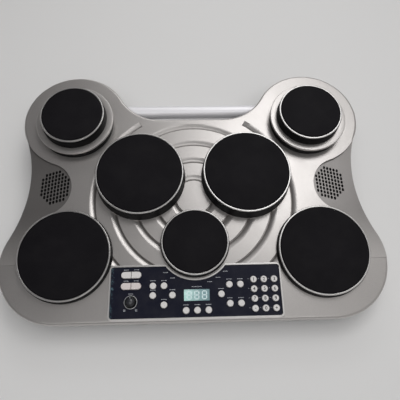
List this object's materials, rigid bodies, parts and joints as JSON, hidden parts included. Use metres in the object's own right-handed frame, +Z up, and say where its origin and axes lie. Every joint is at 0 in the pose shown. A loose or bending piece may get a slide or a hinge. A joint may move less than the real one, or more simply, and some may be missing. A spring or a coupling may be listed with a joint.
{
  "type": "electronic drum kit",
  "caption": "Table-top electronic drum kit: silver sloping deck with round rubber pads in rims, side speakers, a keyed control panel with display, and a rear carry tube.",
  "frame": {"origin": "centre of the kit's footprint, on the ground under its feet", "axes": "+X to the player's right, +Y away from the player, +Z up"},
  "size_m": [0.5828, 0.4229, 0.1182],
  "materials": {
    "pad_rubber": "matte black rubber",
    "key_white": "off-white moulded keys",
    "rim_silver": "bright silver paint on plastic",
    "shell_black": "glossy black plastic",
    "sensor_steel": "plain sheet steel",
    "piezo_brass": "brass disc",
    "silver_paint": "satin silver metallic paint on plastic",
    "grille_grey": "grey metallic paint, matt",
    "speaker_steel": "dark paper cone, steel basket and magnet",
    "fascia_dark": "dark navy plate, soft gloss",
    "clear_window": "clear window",
    "display_teal": "pale lit display",
    "knob_black": "black knob",
    "control_grey": "grey control body",
    "board_green": "green circuit board",
    "tray_dark": "dark grey textured plastic",
    "cell_metal": "sleeved dry cells",
    "screw_steel": "zinc plated",
    "jack_black": "black plastic sockets",
    "handle_satin": "satin tube",
    "foot_rubber": "black rubber feet"
  },
  "bodies": {
    "kit": {"batteries": "cell_metal", "bottom_housing": "tray_dark", "carry_handle": "handle_satin", "centre_pad_skin": "pad_rubber", "control_board": "board_green", "control_fascia": "fascia_dark", "cymbal_plates": "silver_paint", "cymbal_risers": "shell_black", "display_module": "display_teal", "display_window": "clear_window", "housing_screws": "screw_steel", "left_cymbal_pad_skin": "pad_rubber", "left_front_pad_skin": "pad_rubber", "left_speaker_grille": "grille_grey", "left_tom_pad_skin": "pad_rubber", "loudspeakers": "speaker_steel", "pad_rims": "rim_silver", "pad_shells": "shell_black", "piezo_sensors": "piezo_brass", "power_inlet": "jack_black", "rear_jacks": "jack_black", "right_cymbal_pad_skin": "pad_rubber", "right_front_pad_skin": "pad_rubber", "right_speaker_grille": "grille_grey", "right_tom_pad_skin": "pad_rubber", "rubber_feet": "foot_rubber", "sensor_plates": "sensor_steel", "top_housing": "silver_paint", "volume_control": "control_grey"},
    "keypad_0": {"keypad_0": "key_white"},
    "keypad_1": {"keypad_1": "key_white"},
    "keypad_2": {"keypad_2": "key_white"},
    "keypad_3": {"keypad_3": "key_white"},
    "keypad_4": {"keypad_4": "key_white"},
    "keypad_5": {"keypad_5": "key_white"},
    "keypad_6": {"keypad_6": "key_white"},
    "keypad_7": {"keypad_7": "key_white"},
    "keypad_8": {"keypad_8": "key_white"},
    "keypad_9": {"keypad_9": "key_white"},
    "keypad_minus": {"keypad_minus": "key_white"},
    "keypad_plus": {"keypad_plus": "key_white"},
    "level_key_down": {"level_key_down": "key_white"},
    "level_key_up": {"level_key_up": "key_white"},
    "mode_key_1": {"mode_key_1": "key_white"},
    "mode_key_2": {"mode_key_2": "key_white"},
    "mode_key_3": {"mode_key_3": "key_white"},
    "mode_key_4": {"mode_key_4": "key_white"},
    "mode_key_5": {"mode_key_5": "key_white"},
    "rhythm_key_1": {"rhythm_key_1": "key_white"},
    "rhythm_key_2": {"rhythm_key_2": "key_white"},
    "rhythm_key_3": {"rhythm_key_3": "key_white"},
    "sound_key_1": {"sound_key_1": "key_white"},
    "sound_key_2": {"sound_key_2": "key_white"},
    "sound_key_3": {"sound_key_3": "key_white"},
    "sound_key_4": {"sound_key_4": "key_white"},
    "sound_key_5": {"sound_key_5": "key_white"},
    "tempo_key_down": {"tempo_key_down": "key_white"},
    "tempo_key_up": {"tempo_key_up": "key_white"},
    "volume_knob": {"volume_knob": "knob_black"},
    "battery_door": {"battery_door": "tray_dark"}
  },
  "joints": [
    {"name": "keypad_0_press", "type": "slide", "parent": "kit", "child": "keypad_0", "axis": [0, 0.0872, -0.9962], "range_m": [0, 0.001], "stiffness_N_per_m": 250},
    {"name": "keypad_1_press", "type": "slide", "parent": "kit", "child": "keypad_1", "axis": [0, 0.0872, -0.9962], "range_m": [0, 0.001], "stiffness_N_per_m": 250},
    {"name": "keypad_2_press", "type": "slide", "parent": "kit", "child": "keypad_2", "axis": [0, 0.0872, -0.9962], "range_m": [0, 0.001], "stiffness_N_per_m": 250},
    {"name": "keypad_3_press", "type": "slide", "parent": "kit", "child": "keypad_3", "axis": [0, 0.0872, -0.9962], "range_m": [0, 0.001], "stiffness_N_per_m": 250},
    {"name": "keypad_4_press", "type": "slide", "parent": "kit", "child": "keypad_4", "axis": [0, 0.0872, -0.9962], "range_m": [0, 0.001], "stiffness_N_per_m": 250},
    {"name": "keypad_5_press", "type": "slide", "parent": "kit", "child": "keypad_5", "axis": [0, 0.0872, -0.9962], "range_m": [0, 0.001], "stiffness_N_per_m": 250},
    {"name": "keypad_6_press", "type": "slide", "parent": "kit", "child": "keypad_6", "axis": [0, 0.0872, -0.9962], "range_m": [0, 0.001], "stiffness_N_per_m": 250},
    {"name": "keypad_7_press", "type": "slide", "parent": "kit", "child": "keypad_7", "axis": [0, 0.0872, -0.9962], "range_m": [0, 0.001], "stiffness_N_per_m": 250},
    {"name": "keypad_8_press", "type": "slide", "parent": "kit", "child": "keypad_8", "axis": [0, 0.0872, -0.9962], "range_m": [0, 0.001], "stiffness_N_per_m": 250},
    {"name": "keypad_9_press", "type": "slide", "parent": "kit", "child": "keypad_9", "axis": [0, 0.0872, -0.9962], "range_m": [0, 0.001], "stiffness_N_per_m": 250},
    {"name": "keypad_minus_press", "type": "slide", "parent": "kit", "child": "keypad_minus", "axis": [0, 0.0872, -0.9962], "range_m": [0, 0.001], "stiffness_N_per_m": 250},
    {"name": "keypad_plus_press", "type": "slide", "parent": "kit", "child": "keypad_plus", "axis": [0, 0.0872, -0.9962], "range_m": [0, 0.001], "stiffness_N_per_m": 250},
    {"name": "level_key_down_press", "type": "slide", "parent": "kit", "child": "level_key_down", "axis": [0, 0.0872, -0.9962], "range_m": [0, 0.001], "stiffness_N_per_m": 250},
    {"name": "level_key_up_press", "type": "slide", "parent": "kit", "child": "level_key_up", "axis": [0, 0.0872, -0.9962], "range_m": [0, 0.001], "stiffness_N_per_m": 250},
    {"name": "mode_key_1_press", "type": "slide", "parent": "kit", "child": "mode_key_1", "axis": [0, 0.0872, -0.9962], "range_m": [0, 0.001], "stiffness_N_per_m": 250},
    {"name": "mode_key_2_press", "type": "slide", "parent": "kit", "child": "mode_key_2", "axis": [0, 0.0872, -0.9962], "range_m": [0, 0.001], "stiffness_N_per_m": 250},
    {"name": "mode_key_3_press", "type": "slide", "parent": "kit", "child": "mode_key_3", "axis": [0, 0.0872, -0.9962], "range_m": [0, 0.001], "stiffness_N_per_m": 250},
    {"name": "mode_key_4_press", "type": "slide", "parent": "kit", "child": "mode_key_4", "axis": [0, 0.0872, -0.9962], "range_m": [0, 0.001], "stiffness_N_per_m": 250},
    {"name": "mode_key_5_press", "type": "slide", "parent": "kit", "child": "mode_key_5", "axis": [0, 0.0872, -0.9962], "range_m": [0, 0.001], "stiffness_N_per_m": 250},
    {"name": "rhythm_key_1_press", "type": "slide", "parent": "kit", "child": "rhythm_key_1", "axis": [0, 0.0872, -0.9962], "range_m": [0, 0.001], "stiffness_N_per_m": 250},
    {"name": "rhythm_key_2_press", "type": "slide", "parent": "kit", "child": "rhythm_key_2", "axis": [0, 0.0872, -0.9962], "range_m": [0, 0.001], "stiffness_N_per_m": 250},
    {"name": "rhythm_key_3_press", "type": "slide", "parent": "kit", "child": "rhythm_key_3", "axis": [0, 0.0872, -0.9962], "range_m": [0, 0.001], "stiffness_N_per_m": 250},
    {"name": "sound_key_1_press", "type": "slide", "parent": "kit", "child": "sound_key_1", "axis": [0, 0.0872, -0.9962], "range_m": [0, 0.001], "stiffness_N_per_m": 250},
    {"name": "sound_key_2_press", "type": "slide", "parent": "kit", "child": "sound_key_2", "axis": [0, 0.0872, -0.9962], "range_m": [0, 0.001], "stiffness_N_per_m": 250},
    {"name": "sound_key_3_press", "type": "slide", "parent": "kit", "child": "sound_key_3", "axis": [0, 0.0872, -0.9962], "range_m": [0, 0.001], "stiffness_N_per_m": 250},
    {"name": "sound_key_4_press", "type": "slide", "parent": "kit", "child": "sound_key_4", "axis": [0, 0.0872, -0.9962], "range_m": [0, 0.001], "stiffness_N_per_m": 250},
    {"name": "sound_key_5_press", "type": "slide", "parent": "kit", "child": "sound_key_5", "axis": [0, 0.0872, -0.9962], "range_m": [0, 0.001], "stiffness_N_per_m": 250},
    {"name": "tempo_key_down_press", "type": "slide", "parent": "kit", "child": "tempo_key_down", "axis": [0, 0.0872, -0.9962], "range_m": [0, 0.001], "stiffness_N_per_m": 250},
    {"name": "tempo_key_up_press", "type": "slide", "parent": "kit", "child": "tempo_key_up", "axis": [0, 0.0872, -0.9962], "range_m": [0, 0.001], "stiffness_N_per_m": 250},
    {"name": "volume_knob_turn", "type": "hinge", "parent": "kit", "child": "volume_knob", "pos_m": [-0.0946, -0.18241, 0.05167], "axis": [0, -0.0872, 0.9962], "range_deg": [-150, 150]},
    {"name": "battery_door_slide", "type": "slide", "parent": "kit", "child": "battery_door", "axis": [0, 1, 0], "range_m": [0, 0.012]}
  ]
}
